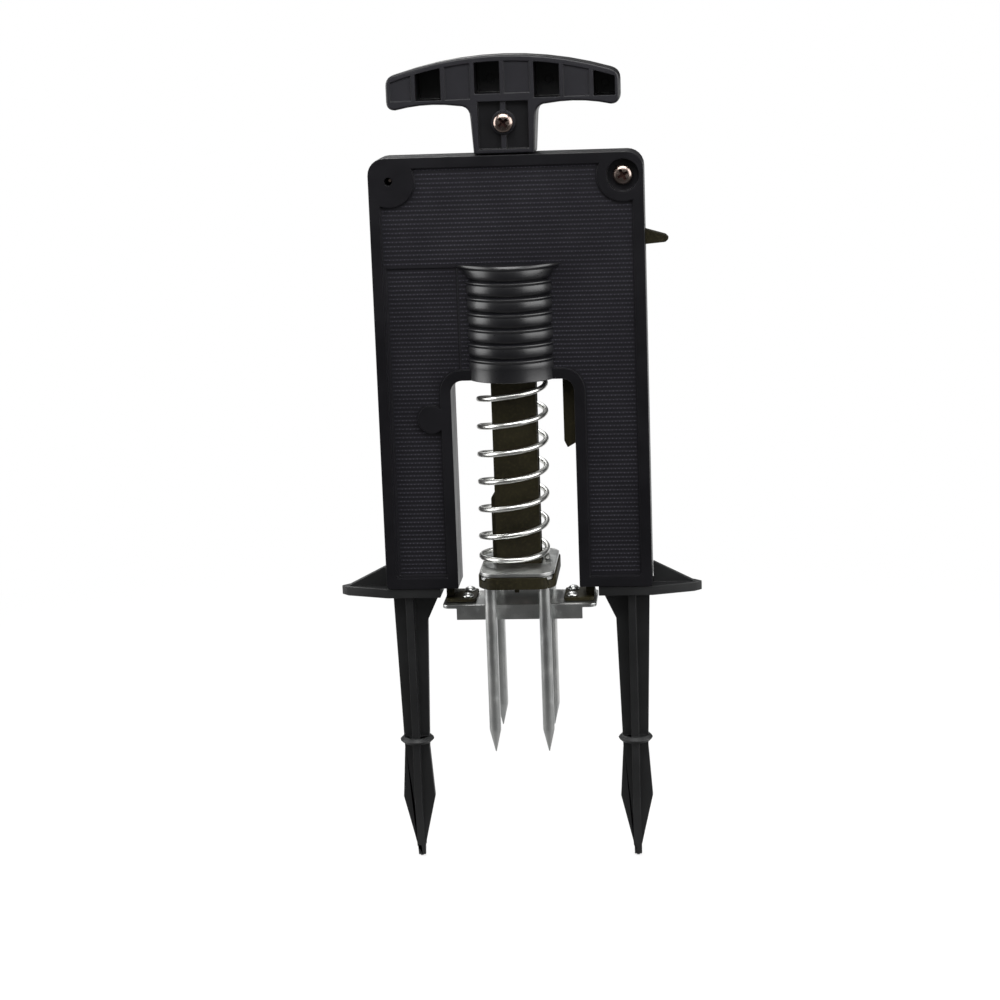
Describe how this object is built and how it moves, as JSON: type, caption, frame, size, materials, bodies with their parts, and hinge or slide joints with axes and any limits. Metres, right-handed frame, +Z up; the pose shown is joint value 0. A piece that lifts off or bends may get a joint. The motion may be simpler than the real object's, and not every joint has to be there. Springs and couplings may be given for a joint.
{
  "type": "mole trap",
  "caption": "Tunnel trap for moles: a two-leg housing on soil stakes, with a T-handle plunger on a coil spring that drives tines past a trigger pan.",
  "frame": {"origin": "on the ground line, the plane of the undersides of the two feet, midway between the stakes", "axes": "+Z up along the plunger, +X to the side that the lever's tab sticks out of, and the front faces -Y"},
  "size_m": [0.156, 0.048, 0.3486],
  "materials": {
    "shell_plastic": "blue-black moulded plastic, fine pimpled panels inside smooth rims",
    "mechanism_plastic": "olive-brown black glass-filled plastic, satin with faint flow marks",
    "stake_plastic": "black moulded plastic, satin, lightly scuffed",
    "bush_plastic": "dark grey bearing plastic, smooth",
    "spring_steel": "bright zinc-plated spring wire",
    "zinc_steel": "zinc-plated steel, dull bright",
    "screw_steel": "dark bronze-toned plated screw steel"
  },
  "bodies": {
    "frame": {"front_shell": "shell_plastic", "rear_shell": "shell_plastic", "left_stake": "stake_plastic", "right_stake": "stake_plastic", "plunger_bush": "bush_plastic", "main_spring": "spring_steel", "spring_seat": "zinc_steel", "lever_pin": "zinc_steel", "shell_screw_top_right": "screw_steel", "shell_screw_top_left": "screw_steel", "shell_screw_lower_left": "screw_steel", "shell_screw_lower_right": "screw_steel", "stake_screw_left": "screw_steel", "stake_screw_right": "screw_steel"},
    "plunger": {"t_handle": "shell_plastic", "plunger_bar": "mechanism_plastic", "handle_screw": "screw_steel", "tine_carrier": "mechanism_plastic", "spring_foot_plate": "zinc_steel", "carrier_screw": "screw_steel", "tine_front_left": "zinc_steel", "tine_front_right": "zinc_steel", "tine_rear_left": "zinc_steel", "tine_rear_right": "zinc_steel"},
    "trigger": {"trigger_pan": "zinc_steel", "guide_strut": "mechanism_plastic", "trigger_riser": "mechanism_plastic", "pan_rivet_left_front": "zinc_steel", "pan_rivet_left_rear": "zinc_steel", "pan_rivet_right_front": "zinc_steel", "pan_rivet_right_rear": "zinc_steel"},
    "trip": {"trip_lever": "mechanism_plastic", "lever_spring": "spring_steel"}
  },
  "joints": [
    {"name": "plunger_slide", "type": "slide", "parent": "frame", "child": "plunger", "axis": [0, 0, 1], "range_m": [0, 0.068], "stiffness_N_per_m": 1210, "springref_m": -0.025, "deforming": ["main_spring"]},
    {"name": "pan_lift", "type": "slide", "parent": "frame", "child": "trigger", "axis": [0, 0, 1], "range_m": [0, 0.0034]},
    {"name": "trip_swing", "type": "hinge", "parent": "frame", "child": "trip", "pos_m": [0.0265, 0, 0.1012], "axis": [0, 1, 0], "range_deg": [0, 3.5], "stiffness_Nm_per_rad": 0.05, "springref_deg": -11.46}
  ],
  "couplings": [
    {"joint": "trip_swing", "follows": "pan_lift", "rad_per_m": 17.95}
  ]
}
